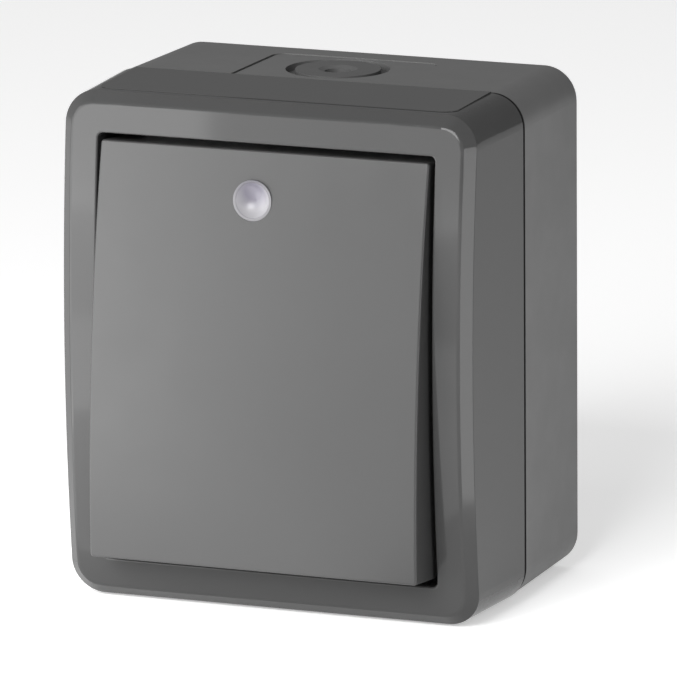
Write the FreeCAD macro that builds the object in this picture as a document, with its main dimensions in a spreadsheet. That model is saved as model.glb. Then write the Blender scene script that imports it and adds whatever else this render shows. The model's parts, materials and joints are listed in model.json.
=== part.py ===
"""Surface-mounted weatherproof rocker switch, with the upper half of its rocker pressed in.

X runs to the right seen from the front, Y into the wall and Z up. The origin is the middle of the
box's back face. A name that ends in _deep is a distance in front of the wall, so it lies at
Y = -deep. The rocker, the cradle and what they carry are drawn level, about the axis that they turn
on, and are then placed and tilted to the rest position. So is the contact arm.
"""
import FreeCAD
import Part
import Sketcher
import math
import os

SIZES = {
    # Rear box
    "box_wide": 66,
    "box_high": 76,
    "box_deep": 23.25,
    "box_draft_side": 0.57,
    "box_draft_end": 0.16,
    "corner_r": 5,
    "rim_inset": 0.1,
    "rim_round": 0.3,
    "box_wall": 2.6,
    "inner_r": 2.4,
    "back_wall": 2.4,
    "step_wide": 1.3,
    "step_drop": 2.6,
    "core_wide": 14,
    "core_high": 16,
    "core_drop": 0.8,
    "core_r": 1.5,
    "core_rib": 6,
    # Box seal
    "seal_thick": 0.9,
    "seal_play": 0.05,
    # Wall fixing
    "wall_hole_r": 2.25,
    "wall_boss_r": 4.6,
    "wall_boss_rise": 2,
    "cap_play": 0.03,
    "cap_wall": 0.9,
    "cap_room": 3.6,
    "cap_roof": 1,
    # Cable inlets
    "inlet_x": -0.55,
    "slot_wide": 26.2,
    "slot_end_deep": 4.25,
    "slot_r": 2,
    "slot_gap": 0.3,
    "inlet_play": 0.1,
    "inlet_sink": 0.15,
    "flange_wide": 30.4,
    "flange_thick": 2,
    "flange_end_deep": 2.7,
    "rail_wall": 1.5,
    "rail_gap": 0.65,
    "grommet_margin": 0.41,
    "grommet_rim_thick": 0.8,
    "grommet_rim_grip": 1.54,
    "grommet_lip_inset": 0.34,
    "grommet_lip_thick": 1.1,
    "grommet_play": 0.02,
    "grommet_groove_wide": 1.39,
    "grommet_groove_drop": 0.9,
    "grommet_dish_r": 2.9,
    "grommet_dish_drop": 0.35,
    "grommet_dimple_r": 2,
    "grommet_dimple_drop": 1.5,
    # Front cover
    "parting_gap": 0.55,
    "cover_draft_side": 0.91,
    "cover_draft_end": 0.25,
    "front_rise": 20.51,
    "front_r": 297,
    "bevel": 1.6,
    "bevel_round": 0.7,
    "bevel_side_round": 0.15,
    "edge_round": 0.3,
    "frame_thick": 2.4,
    "pad_long": 14.75,
    "pad_rise": 0.22,
    "pad_front_rise": 0.1,
    "pad_r": 2.2,
    "frame_side": 6.61,
    "frame_end": 6.1,
    "recess_r": 0.8,
    "recess_wall": 1.8,
    "floor_rise": 9.95,
    "floor_thick": 2,
    "window_wide": 32.6,
    "window_below": 1.4,
    "window_above": 2.4,
    "niche_play": 0.8,
    "collar_wall": 1.6,
    "spigot_play": 0.15,
    # Cover screws
    "cover_screw_inset_side": 3.39,
    "cover_screw_inset_end": 4.4,
    "cover_screw_long": 20,
    "cover_post_r": 3.4,
    "cover_post_drop": 3.25,
    "boss_play": 0.1,
    "screw_r": 1.7,
    "screw_play": 0.05,
    "screw_head_r": 2.8,
    "screw_head_high": 2,
    "head_flat": 0.7,
    "screw_seal_r": 2.7,
    "screw_seal_thick": 0.6,
    # Mounting plate and its screws
    "plate_thick": 1.2,
    "plate_drop": 0.25,
    "plate_margin": 0.5,
    "plate_ear_gap": 1.1,
    "plate_ear_high": 10,
    "plate_window_wide": 19,
    "plate_window_rail": 3.1,
    "plate_screw_inset": 5,
    "plate_screw_long": 10,
    "plate_lamp_slot_wide": 6.4,
    "plate_lamp_slot_high": 3,
    "mechanism_seal_thick": 0.9,
    # Mechanism base
    "base_wide": 35.2,
    "base_cap_gap": 0.5,
    "base_over_screw": 3,
    "base_bottom": 26,
    "base_deep": 16,
    "base_round": 1,
    "chamber_wide": 17,
    "chamber_top": 15,
    "chamber_bottom": 16.5,
    "chamber_drop": 13,
    "deck_wide": 31,
    "deck_top": 18.5,
    "barrier_thick": 1.2,
    "barrier_drop": 5.5,
    "strip_slot_wide": 15,
    # Bearing frame and its screws
    "bearing_play": 0.3,
    "bearing_lamp_gap": 2.6,
    "bearing_flange": 1.6,
    "bearing_screw_inset_side": 3,
    "bearing_screw_inset_end": 2.6,
    "bearing_screw_r": 1.2,
    "bearing_screw_head_r": 2,
    "bearing_screw_head_high": 1.2,
    "bearing_screw_long": 9,
    "ear_thick": 3,
    "ear_foot": 10,
    "ear_top_r": 3.4,
    "trunnion_r": 2,
    "trunnion_play": 0.05,
    "cradle_play": 0.2,
    # Rocker
    "pivot_rise": 14.75,
    "rest_tilt": 5.73,
    "rocker_gap_side": 0.69,
    "rocker_gap_end": 1.15,
    "rocker_drop": 0.3,
    "rocker_r": 0.5,
    "rocker_rise": 7.51,
    "rocker_face_r": 262,
    "rocker_skirt": 8,
    "rocker_wall": 2,
    "rocker_round": 0.35,
    "clip_wide": 10,
    "clip_thick": 1.6,
    "clip_hook": 1.4,
    "clip_play": 0.05,
    # Indicator lens
    "lens_r": 3,
    "lens_x": -1.25,
    "lens_drop": 7.55,
    "lens_play": 0.02,
    "lens_proud": 0.15,
    "lens_rim": 0.35,
    "lens_dish_r": 3.4,
    "lens_flange_r": 4.1,
    "lens_flange_thick": 0.8,
    "lens_stem_r": 2.2,
    "lens_stem_long": 2.4,
    # Cradle, plunger and spring
    "hub_r": 3,
    "cradle_web_wide": 13.6,
    "cradle_plate_gap": 0.6,
    "cradle_plate_high": 26,
    "cradle_plate_thick": 2,
    "cradle_plate_rise": 3.2,
    "stem_r": 3.4,
    "stem_bore_r": 2.1,
    "stem_long": 16.5,
    "stem_roof": 3,
    "plunger_r": 2,
    "plunger_tip_r": 1.2,
    "plunger_guide": 7,
    "plunger_gap": 0.12,
    "coil_r": 1.6,
    "wire_thick": 0.45,
    "coil_turns": 4,
    # Contact arm and contacts
    "contact_tilt": 6,
    "arm_wide": 6,
    "arm_half": 12.8,
    "arm_thick": 0.8,
    "arm_offset": 1,
    "cheek_thick": 0.8,
    "cheek_half": 2,
    "fulcrum_r": 0.9,
    "web_wide": 4,
    "web_thick": 1.2,
    "tip_z": 11,
    "tip_r": 1.6,
    "fixed_tip_high": 1.4,
    "moving_tip_high": 1.4,
    "contact_gap": 0.08,
    "strip_thick": 0.8,
    "strip_wide": 4.4,
    "strip_leg_out": 7.2,
    "strip_leg_in": 4.4,
    "strip_play": 0.1,
    # Terminals
    "terminal_pitch": 11.5,
    "terminal_z": 23,
    "clamp_wide": 6,
    "clamp_high": 4.6,
    "clamp_rise": 5,
    "wire_hole_r": 1.3,
    "wire_hole_rise": 1.7,
    "clamp_screw_r": 1.4,
    "clamp_screw_long": 1.9,
    "clamp_screw_head_r": 2.3,
    "clamp_screw_head_high": 1.8,
    # Lamp
    "holder_wide": 10,
    "holder_high": 8,
    "holder_rise": 5,
    "lamp_r": 2,
    "lamp_play": 0.02,
    "lamp_long": 8,
    "lamp_seat": 1.4,
    "lead_x": 1.6,
    "lead_wide": 1.6,
    "lead_thick": 0.5,
    "lead_foot_drop": 6,
}

WORKED = {
    # Rear box and cover outlines
    "rim_half_wide": "=Size.box_wide / 2 - Size.rim_inset",
    "rim_half_high": "=Size.box_high / 2 - Size.rim_inset",
    "inner_half_wide": "=rim_half_wide - Size.box_wall",
    "inner_half_high": "=rim_half_high - Size.box_wall",
    "step_half_wide": "=inner_half_wide + Size.step_wide",
    "step_half_high": "=inner_half_high + Size.step_wide",
    "step_r": "=Size.inner_r + Size.step_wide",
    "step_deep": "=Size.box_deep - Size.step_drop",
    "seal_front_deep": "=step_deep + Size.seal_thick",
    "cover_back_deep": "=Size.box_deep + Size.parting_gap",
    "front_deep": "=Size.box_deep + Size.front_rise",
    "pad_wide": "=Size.box_wide - 2 * Size.corner_r",
    "pad_fall": "=Size.cover_draft_end * Size.pad_long / (front_deep - cover_back_deep)",
    "pad_front_top": "=Size.box_high / 2 + Size.pad_front_rise - pad_fall",
    "recess_wide": "=Size.box_wide - 2 * Size.frame_side",
    "recess_high": "=Size.box_high - 2 * Size.frame_end",
    "floor_deep": "=Size.box_deep + Size.floor_rise",
    "floor_back_deep": "=floor_deep - Size.floor_thick",
    "front_end_deep": "=front_deep - Size.front_r + sqrt(Size.front_r ^ 2 - Size.box_high ^ 2 / 4)",
    "channel_deep": "=front_end_deep - Size.frame_thick",
    "channel_half_wide": "=recess_wide / 2 + Size.recess_wall",
    "channel_half_high": "=recess_high / 2 + Size.recess_wall",
    "channel_r": "=Size.recess_r + Size.recess_wall",
    "rocker_wide": "=recess_wide - 2 * Size.rocker_gap_side",
    "rocker_high": "=recess_high - 2 * Size.rocker_gap_end",
    "lens_z": "=rocker_high / 2 - Size.lens_drop",
    # Mechanism
    "plate_back_deep": "=Size.box_deep - Size.plate_drop",
    "plate_front_deep": "=plate_back_deep + Size.plate_thick",
    "collar_end_deep": "=plate_front_deep + Size.mechanism_seal_thick",
    "plate_screw_x": "=inner_half_wide - Size.plate_screw_inset",
    "plate_ear_out": "=inner_half_wide - Size.plate_ear_gap",
    "base_back_deep": "=plate_back_deep - Size.base_deep",
    "chamber_floor_deep": "=plate_back_deep - Size.chamber_drop",
    "barrier_deep": "=plate_back_deep - Size.barrier_drop",
    "lead_foot_deep": "=plate_back_deep - Size.lead_foot_drop",
    "bearing_wide": "=Size.window_wide - 2 * Size.bearing_play",
    "bearing_high": "=2 * (lens_z - Size.holder_high / 2 - Size.bearing_lamp_gap)",
    "bearing_screw_x": "=bearing_wide / 2 - Size.bearing_screw_inset_side",
    "bearing_screw_z": "=bearing_high / 2 - Size.bearing_screw_inset_end",
    "plate_window_high": "=bearing_high - 2 * Size.plate_window_rail",
    "base_top": "=bearing_screw_z + Size.base_over_screw",
    "window_bottom": "=bearing_high / 2 + Size.window_below",
    "window_top": "=bearing_high / 2 + Size.window_above",
    "niche_top": "=lens_z + Size.holder_high / 2 + Size.niche_play",
    "niche_half": "=Size.holder_wide / 2 + Size.niche_play",
    "bearing_front_deep": "=plate_front_deep + Size.bearing_flange",
    # Inlets
    "inlet_half_wide": "=Size.slot_wide / 2 - Size.slot_gap",
    "inlet_end_deep": "=Size.slot_end_deep + Size.inlet_play",
    "flange_top": "=inner_half_high - Size.inlet_play",
    "flange_bottom": "=flange_top - Size.flange_thick",
    "rail_in": "=Size.flange_wide / 2 + Size.inlet_play",
    "rail_out": "=rail_in + Size.rail_wall",
    "rail_lip_top": "=flange_bottom - Size.inlet_play",
    "rail_lip_bottom": "=rail_lip_top - Size.rail_wall",
    "rail_lip_in": "=Size.slot_wide / 2",
    "rail_deep": "=step_deep - Size.rail_gap",
    "inlet_face_rim": "=rim_half_high - Size.inlet_sink",
    "inlet_deep": "=(step_deep + inlet_end_deep) / 2",
    "inlet_fall": "=Size.box_draft_end * (Size.box_deep - inlet_end_deep) / Size.box_deep",
    "inlet_face_end": "=inlet_face_rim - inlet_fall",
    "grommet_rim_top": "=inlet_face_end - Size.grommet_groove_drop",
    "grommet_seat": "=grommet_rim_top - Size.grommet_rim_thick",
    "grommet_top": "=inlet_face_rim - Size.box_draft_end * (Size.box_deep - inlet_deep) / Size.box_deep",
    "grommet_rim_r": "=(step_deep - inlet_end_deep) / 2 - Size.grommet_margin",
    "grommet_neck_r": "=grommet_rim_r - Size.grommet_rim_grip",
    "grommet_lip_r": "=grommet_rim_r - Size.grommet_lip_inset",
    "grommet_disc_r": "=grommet_rim_r - Size.grommet_groove_wide",
    # Screws
    "cover_screw_x": "=recess_wide / 2 - Size.cover_screw_inset_side",
    "cover_screw_z": "=recess_high / 2 - Size.cover_screw_inset_end",
    "cap_out_r": "=Size.wall_boss_r + Size.cap_play + Size.cap_wall",
    "cap_top_deep": "=Size.back_wall + Size.wall_boss_rise + Size.cap_room + Size.cap_roof",
    "cover_post_deep": "=Size.box_deep - Size.cover_post_drop",
    "head_seat_deep": "=floor_deep - Size.screw_head_high - Size.screw_seal_thick",
    "seal_face_deep": "=head_seat_deep + Size.screw_seal_thick",
    "counterbore_r": "=Size.screw_head_r + Size.screw_play",
    "screw_hole_r": "=Size.screw_r + Size.screw_play",
    "bearing_hole_r": "=Size.bearing_screw_r + Size.screw_play",
    # Bearing ears and cradle
    "ear_out": "=bearing_wide / 2 - 2 * Size.cradle_play",
    "ear_in": "=ear_out - Size.ear_thick",
    "hub_half": "=ear_in - Size.cradle_play",
    "trunnion_half": "=ear_out",
    "cradle_plate_wide": "=2 * (ear_in - Size.cradle_plate_gap)",
    "cradle_plate_front": "=Size.cradle_plate_rise + Size.cradle_plate_thick",
    # Rocker, as distances in front of the axis that it turns on
    "pivot_deep": "=Size.box_deep + Size.pivot_rise",
    "rocker_end": "=rocker_high / 2 + Size.rocker_drop",
    "rocker_sag": "=Size.rocker_face_r - sqrt(Size.rocker_face_r ^ 2 - rocker_end ^ 2)",
    "rocker_top": "=Size.rocker_rise + rocker_sag",
    "rocker_back": "=Size.rocker_rise - Size.rocker_skirt",
    "inner_face_r": "=Size.rocker_face_r - Size.rocker_wall",
    "inner_top": "=rocker_top - Size.rocker_wall",
    "rocker_in_half_wide": "=rocker_wide / 2 - Size.rocker_wall",
    "rocker_in_half_high": "=rocker_high / 2 - Size.rocker_wall",
    "inner_edge": "=inner_top - inner_face_r + sqrt(inner_face_r ^ 2 - rocker_in_half_high ^ 2)",
    "lens_sag": "=Size.rocker_face_r - sqrt(Size.rocker_face_r ^ 2 - lens_z ^ 2)",
    "lens_front": "=rocker_top - lens_sag + Size.lens_proud",
    "lens_low_z": "=lens_z + Size.lens_flange_r",
    "lens_seat": "=inner_top - inner_face_r + sqrt(inner_face_r ^ 2 - lens_low_z ^ 2)",
    "clip_in": "=Size.cradle_plate_high / 2 + Size.clip_play",
    "clip_under": "=Size.cradle_plate_rise - Size.clip_play",
    # Contacts
    "strip_front_deep": "=chamber_floor_deep + Size.strip_thick",
    "fixed_tip_deep": "=strip_front_deep + Size.fixed_tip_high",
    "tip_reach": "=(Size.tip_z + Size.tip_r) * sin(Size.contact_tilt)",
    "tip_drop": "=(Size.moving_tip_high - Size.arm_offset) * cos(Size.contact_tilt)",
    "contact_axis_deep": "=fixed_tip_deep + Size.contact_gap + tip_reach + tip_drop",
    "arm_front": "=Size.arm_offset + Size.arm_thick",
    "plunger_end": "=pivot_deep - contact_axis_deep - arm_front - Size.plunger_gap",
    "plunger_start": "=plunger_end - Size.plunger_guide - Size.stem_roof",
    "spring_long": "=plunger_start - Size.stem_roof",
    "clamp_front_deep": "=strip_front_deep + Size.clamp_rise",
}

doc = FreeCAD.newDocument("rocker_switch")


def fill_sheet(name, cells):
    """A spreadsheet with one aliased cell to a row."""
    sheet = doc.addObject("Spreadsheet::Sheet", name)
    for row, (alias, content) in enumerate(cells.items(), start=1):
        sheet.set(f"A{row}", alias)
        sheet.set(f"B{row}", str(content))
        sheet.setAlias(f"B{row}", alias)
    doc.recompute()
    return sheet


SIZE = fill_sheet("Size", SIZES)
fill_sheet("Fit", WORKED)


def value(expression):
    """The number that an expression gives now."""
    result = SIZE.evalExpression(expression)
    return float(getattr(result, "Value", result))


def new_body(label):
    body = doc.addObject("PartDesign::Body", label)
    body.Label = label
    return body


def hang_on_pivot(body):
    """Places a body drawn about the rocker's axis: on that axis, with its upper half pressed in."""
    body.Placement = FreeCAD.Placement(FreeCAD.Vector(), FreeCAD.Rotation(FreeCAD.Vector(-1, 0, 0), 1))
    body.setExpression("Placement.Base.y", "-Fit.pivot_deep")
    body.setExpression("Placement.Rotation.Angle", "Size.rest_tilt")


def hang_on_fulcrum(body):
    """Places a body drawn about the contact arm's axis: on that axis, with its lower half in."""
    body.Placement = FreeCAD.Placement(FreeCAD.Vector(), FreeCAD.Rotation(FreeCAD.Vector(1, 0, 0), 1))
    body.setExpression("Placement.Base.y", "-Fit.contact_axis_deep")
    body.setExpression("Placement.Rotation.Angle", "Size.contact_tilt")


def origin_item(body, role):
    return next(item for item in body.Origin.OriginFeatures if item.Role == role)


def sketch_on(body, name, role, offset):
    sketch = body.newObject("Sketcher::SketchObject", f"{body.Name}_{name}_sketch")
    sketch.AttachmentSupport = [(origin_item(body, role), "")]
    sketch.MapMode = "FlatFace"
    for axis, expression in zip("xyz", offset):
        sketch.setExpression(f"AttachmentOffset.Base.{axis}", expression)
    return sketch


def front_sketch(body, name, deep):
    """A sketch in X and Z that faces the front."""
    return sketch_on(body, name, "XZ_Plane", ("0", "0", deep))


def side_sketch(body, name, x="0", deep="0", z="0"):
    """A sketch whose first axis runs into the wall and whose second runs up."""
    return sketch_on(body, name, "YZ_Plane", (f"-({deep})", z, x))


def plan_sketch(body, name, z="0"):
    """A sketch in X and Y that faces up."""
    return sketch_on(body, name, "XY_Plane", ("0", "0", z))


def bind(sketch, terms, expression):
    number = sketch.addConstraint(Sketcher.Constraint(*terms, value(expression)))
    sketch.setExpression(f"Constraints[{number}]", expression)


def arc_between(start, end, radius, turn):
    """The shorter arc from start to end: anticlockwise where turn is 1, clockwise where it is -1."""
    chord = end - start
    across = FreeCAD.Vector(-chord.y, chord.x, 0).normalize() * turn
    reach = math.sqrt(max(radius ** 2 - chord.Length ** 2 / 4, 0))
    centre = (start + end) * 0.5 + across * reach
    ends = (start, end) if turn > 0 else (end, start)
    angles = [math.atan2(point.y - centre.y, point.x - centre.x) for point in ends]
    return Part.ArcOfCircle(Part.Circle(centre, FreeCAD.Vector(0, 0, 1), radius), *angles)


def draw(sketch, points, arcs=None):
    """A closed outline through points, given as pairs of expressions.

    arcs gives the radius and the turn of each segment that is round, by the number of its first point.
    """
    arcs = arcs or {}
    corners = [FreeCAD.Vector(value(across), value(along), 0) for across, along in points]
    first = sketch.GeometryCount
    ends = []
    for index, start in enumerate(corners):
        end = corners[(index + 1) % len(corners)]
        if index in arcs:
            radius, turn = arcs[index]
            sketch.addGeometry(arc_between(start, end, value(radius), turn), False)
            ends.append((1, 2) if turn > 0 else (2, 1))
        else:
            sketch.addGeometry(Part.LineSegment(start, end), False)
            ends.append((1, 2))
    for index, (across, along) in enumerate(points):
        line = first + index
        following = (index + 1) % len(points)
        joint = (line, ends[index][1], first + following, ends[following][0])
        sketch.addConstraint(Sketcher.Constraint("Coincident", *joint))
        bind(sketch, ("DistanceX", -1, 1, line, ends[index][0]), across)
        bind(sketch, ("DistanceY", -1, 1, line, ends[index][0]), along)
        if index in arcs:
            bind(sketch, ("Radius", line), arcs[index][0])


def draw_box(sketch, left, right, bottom, top, radius=None):
    """A rectangle, with rounded corners where a radius is given."""
    if radius is None:
        draw(sketch, [(left, bottom), (right, bottom), (right, top), (left, top)])
        return
    points = [
        (f"{left} + {radius}", bottom),
        (f"{right} - {radius}", bottom),
        (right, f"{bottom} + {radius}"),
        (right, f"{top} - {radius}"),
        (f"{right} - {radius}", top),
        (f"{left} + {radius}", top),
        (left, f"{top} - {radius}"),
        (left, f"{bottom} + {radius}"),
    ]
    draw(sketch, points, {index: (radius, 1) for index in (1, 3, 5, 7)})


def draw_frame(sketch, half_wide, half_high, radius=None):
    """A rectangle about the sketch's origin."""
    draw_box(sketch, f"-({half_wide})", half_wide, f"-({half_high})", half_high, radius)


def draw_circle(sketch, across, along, radius):
    centre = FreeCAD.Vector(value(across), value(along), 0)
    circle = Part.Circle(centre, FreeCAD.Vector(0, 0, 1), value(radius))
    line = sketch.addGeometry(circle, False)
    bind(sketch, ("DistanceX", -1, 1, line, 3), across)
    bind(sketch, ("DistanceY", -1, 1, line, 3), along)
    bind(sketch, ("Radius", line), radius)


def settle(body, feature, grows, before, may_miss=False):
    """Recomputes, and stops where a feature failed, or changed nothing and isn't one that may miss."""
    body.Tip = feature
    doc.recompute()
    change = body.Shape.Volume - before
    missed = change * (1 if grows else -1) <= 0
    if "Invalid" in feature.State or (missed and not may_miss):
        raise RuntimeError(f"{feature.Name} changed the volume by {change}")
    return feature


def extrude(body, kind, name, sketch, length, reverse, both, may_miss=False):
    before = body.Shape.Volume if body.Tip else 0
    feature = body.newObject(f"PartDesign::{kind}", f"{body.Name}_{name}")
    feature.Profile = sketch
    feature.Reversed = reverse
    if both:
        feature.SideType = "Symmetric"
    if length is None:
        feature.Type = "ThroughAll"
    else:
        feature.setExpression("Length", length)
    return settle(body, feature, kind == "Pad", before, may_miss)


def add(body, name, sketch, length, to_wall=False, both=False):
    """Pads a sketch to the front, to the wall or to both sides."""
    return extrude(body, "Pad", name, sketch, length, to_wall, both)


def cut(body, name, sketch, length=None, to_front=False, both=False, may_miss=False):
    """Pockets a sketch to the wall, to the front or to both sides, right through where no length is given."""
    return extrude(body, "Pocket", name, sketch, length, to_front, both, may_miss)


def loft(body, name, start, end):
    """Joins two outlines that lie one behind the other."""
    feature = body.newObject("PartDesign::AdditiveLoft", f"{body.Name}_{name}")
    feature.Profile = start
    feature.Sections = [end]
    feature.Ruled = True
    return settle(body, feature, True, 0)


def spin(body, kind, name, sketch, axis="H_Axis"):
    before = body.Shape.Volume if body.Tip else 0
    feature = body.newObject(f"PartDesign::{kind}", f"{body.Name}_{name}")
    feature.Profile = sketch
    feature.ReferenceAxis = (sketch, [axis])
    feature.Angle = 360
    return settle(body, feature, kind == "Revolution", before)


def repeat(body, kind, name, features, grows, settings, bound=None):
    """A mirror or pattern of features."""
    before = body.Shape.Volume
    pattern = body.newObject(f"PartDesign::{kind}", f"{body.Name}_{name}")
    pattern.Originals = features
    for key, setting in settings.items():
        setattr(pattern, key, setting)
    for key, expression in (bound or {}).items():
        pattern.setExpression(key, expression)
    return settle(body, pattern, grows, before)


def mirror(body, name, features, role, grows=True):
    return repeat(body, "Mirrored", name, features, grows, {"MirrorPlane": (origin_item(body, role), [""])})


def half_turn(body, name, features, grows=True):
    """Repeats features half a turn about the body's Y axis."""
    settings = {"Axis": (origin_item(body, "Y_Axis"), [""]), "Angle": 360, "Occurrences": 2}
    return repeat(body, "PolarPattern", name, features, grows, settings)


def grid(body, name, features, across, up, grows=True):
    """Repeats features at the four corners of a rectangle."""
    settings = {
        "Direction": (origin_item(body, "X_Axis"), [""]),
        "Occurrences": 2,
        "Direction2": (origin_item(body, "Z_Axis"), [""]),
        "Occurrences2": 2,
    }
    return repeat(body, "LinearPattern", name, features, grows, settings, {"Length": across, "Length2": up})


def row(body, name, features, across, count, grows=True):
    """Repeats features in a row along X."""
    settings = {"Direction": (origin_item(body, "X_Axis"), [""]), "Occurrences": count}
    return repeat(body, "LinearPattern", name, features, grows, settings, {"Length": across})


def dress(body, kind, name, test, size, radius):
    """A fillet or a chamfer on the edges of the body that pass a test."""
    base = body.Tip
    edges = [f"Edge{number}" for number, edge in enumerate(base.Shape.Edges, start=1) if test(edge)]
    feature = body.newObject(f"PartDesign::{kind}", f"{body.Name}_{name}")
    feature.Base = (base, edges)
    feature.setExpression(size, radius)
    body.Tip = feature
    doc.recompute()
    if "Invalid" in feature.State or not edges:
        raise RuntimeError(f"{feature.Name} failed on {len(edges)} edges")
    return feature


def at_deep(edge, deep, near=0.01):
    """True where all of an edge lies at one distance in front of the body's origin."""
    return all(abs(point.y + deep) < near for point in edge.discretize(5))


def outside(edge, half_wide, half_high):
    """True where an edge lies outside a rectangle about the body's origin, seen from the front."""
    points = edge.discretize(5)
    return all(abs(point.x) > half_wide or abs(point.z) > half_high for point in points)


def revolve_screw(body, x, z, seat, shank_r, long, head_r, head_high):
    """A pan-head screw along Y, with the underside of its head at seat."""
    profile = side_sketch(body, "profile", x, seat, z)
    points = [
        (f"-{head_high}", "0"),
        (long, "0"),
        (long, shank_r),
        ("0", shank_r),
        ("0", head_r),
        (f"-{head_high} / 2", head_r),
        (f"-{head_high}", f"{head_r} * Size.head_flat"),
    ]
    draw(profile, points)
    return spin(body, "Revolution", "screw", profile)


def make_rear_box():
    body = new_body("rear_box")
    rim = front_sketch(body, "rim", "Size.box_deep")
    draw_frame(rim, "Fit.rim_half_wide", "Fit.rim_half_high", "Size.corner_r")
    back = front_sketch(body, "back", "0")
    back_half_wide = "Fit.rim_half_wide - Size.box_draft_side"
    draw_frame(back, back_half_wide, "Fit.rim_half_high - Size.box_draft_end", "Size.corner_r")
    loft(body, "block", rim, back)
    inside = front_sketch(body, "inside", "Size.box_deep")
    draw_frame(inside, "Fit.inner_half_wide", "Fit.inner_half_high", "Size.inner_r")
    cut(body, "inside", inside, "Size.box_deep - Size.back_wall")
    step = front_sketch(body, "step", "Size.box_deep")
    draw_frame(step, "Fit.step_half_wide", "Fit.step_half_high", "Fit.step_r")
    cut(body, "step", step, "Size.step_drop")

    slot = plan_sketch(body, "slot")
    sides = ("Size.inlet_x - Size.slot_wide / 2", "Size.inlet_x + Size.slot_wide / 2")
    draw_box(slot, *sides, "-(Size.box_deep + 2 * Size.slot_r)", "-Size.slot_end_deep", "Size.slot_r")
    slot_cut = cut(body, "slot", slot, to_front=True)
    half_turn(body, "slots", [slot_cut], grows=False)

    rails = front_sketch(body, "rails", "Size.back_wall / 2")
    for side in ("", "-"):
        points = [
            ("Fit.rail_lip_in", "Fit.rail_lip_bottom"),
            ("Fit.rail_out", "Fit.rail_lip_bottom"),
            ("Fit.rail_out", "Fit.inner_half_high + Size.box_wall / 4"),
            ("Fit.rail_in", "Fit.inner_half_high + Size.box_wall / 4"),
            ("Fit.rail_in", "Fit.rail_lip_top"),
            ("Fit.rail_lip_in", "Fit.rail_lip_top"),
        ]
        draw(rails, [(f"Size.inlet_x + {side}1 * {across}", up) for across, up in points])
    rails_pad = add(body, "rails", rails, "Fit.rail_deep - Size.back_wall / 2")
    half_turn(body, "rails_below", [rails_pad])

    posts = front_sketch(body, "cover_posts", "Size.back_wall / 2")
    pilots = front_sketch(body, "cover_pilots", "Fit.cover_post_deep")
    for side, other in (("-", ""), ("", "-")):
        place = (f"{side}Fit.cover_screw_x", f"{other}Fit.cover_screw_z")
        draw_circle(posts, *place, "Size.cover_post_r")
        draw_circle(pilots, *place, "Fit.screw_hole_r")
    add(body, "cover_posts", posts, "Fit.cover_post_deep - Size.back_wall / 2")
    cut(body, "cover_pilots", pilots, "Fit.cover_post_deep - Size.back_wall - Size.back_wall")

    posts = front_sketch(body, "plate_posts", "Size.back_wall / 2")
    pilots = front_sketch(body, "plate_pilots", "Fit.plate_back_deep")
    for side in ("-", ""):
        draw_circle(posts, f"{side}Fit.plate_screw_x", "0", "Size.cover_post_r")
        draw_circle(pilots, f"{side}Fit.plate_screw_x", "0", "Fit.screw_hole_r")
    add(body, "plate_posts", posts, "Fit.plate_back_deep - Size.back_wall / 2")
    cut(body, "plate_pilots", pilots, "Size.plate_screw_long + Size.screw_r")

    bosses = front_sketch(body, "wall_bosses", "Size.back_wall / 2")
    holes = front_sketch(body, "wall_holes", "Size.back_wall + Size.wall_boss_rise")
    for side in ("", "-"):
        place = (f"{side}Fit.cover_screw_x", f"{side}Fit.cover_screw_z")
        draw_circle(bosses, *place, "Size.wall_boss_r")
        draw_circle(holes, *place, "Size.wall_hole_r")
    add(body, "wall_bosses", bosses, "Size.back_wall / 2 + Size.wall_boss_rise")
    cut(body, "wall_holes", holes)

    core = front_sketch(body, "core", "0")
    draw_box(
        core,
        "-(Size.core_rib / 2 + Size.core_wide)",
        "-Size.core_rib / 2",
        "-(Size.core_rib / 2 + Size.core_high)",
        "-Size.core_rib / 2",
        "Size.core_r",
    )
    core_cut = cut(body, "core", core, "Size.core_drop", to_front=True)
    across = "Size.core_wide + Size.core_rib"
    grid(body, "cores", [core_cut], across, "Size.core_high + Size.core_rib", grows=False)

    limits = (value("Fit.step_half_wide + Size.edge_round"), value("Fit.step_half_high + Size.edge_round"))
    rim_deep = value("Size.box_deep")
    dress(
        body,
        "Fillet",
        "rim_round",
        lambda edge: at_deep(edge, rim_deep) and outside(edge, *limits),
        "Radius",
        "Size.rim_round",
    )
    return body


def make_wall_caps():
    """Cups over the wall bosses, which cover the heads of the wall's screws."""
    body = new_body("wall_caps")
    cup = front_sketch(body, "cup", "Size.back_wall")
    place = ("Fit.cover_screw_x", "Fit.cover_screw_z")
    draw_circle(cup, *place, "Fit.cap_out_r")
    draw_circle(cup, *place, "Size.wall_boss_r + Size.cap_play")
    wall = add(body, "cup", cup, "Size.wall_boss_rise + Size.cap_room")
    roof = front_sketch(body, "roof", "Size.back_wall + Size.wall_boss_rise + Size.cap_room")
    draw_circle(roof, *place, "Fit.cap_out_r")
    lid = add(body, "roof", roof, "Size.cap_roof")
    half_turn(body, "pair", [wall, lid])
    return body


def make_box_seal():
    body = new_body("box_seal")
    ring = front_sketch(body, "ring", "Fit.step_deep")
    draw_frame(
        ring,
        "Fit.step_half_wide - Size.seal_play",
        "Fit.step_half_high - Size.seal_play",
        "Fit.step_r",
    )
    draw_frame(
        ring,
        "Fit.inner_half_wide + Size.seal_play",
        "Fit.inner_half_high + Size.seal_play",
        "Size.inner_r",
    )
    add(body, "ring", ring, "Size.seal_thick")
    return body


def upside_down(body):
    """Turns an inlet piece, drawn for the top wall, into the one in the bottom wall."""
    body.Placement = FreeCAD.Placement(FreeCAD.Vector(), FreeCAD.Rotation(FreeCAD.Vector(0, 1, 0), 180))


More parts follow.
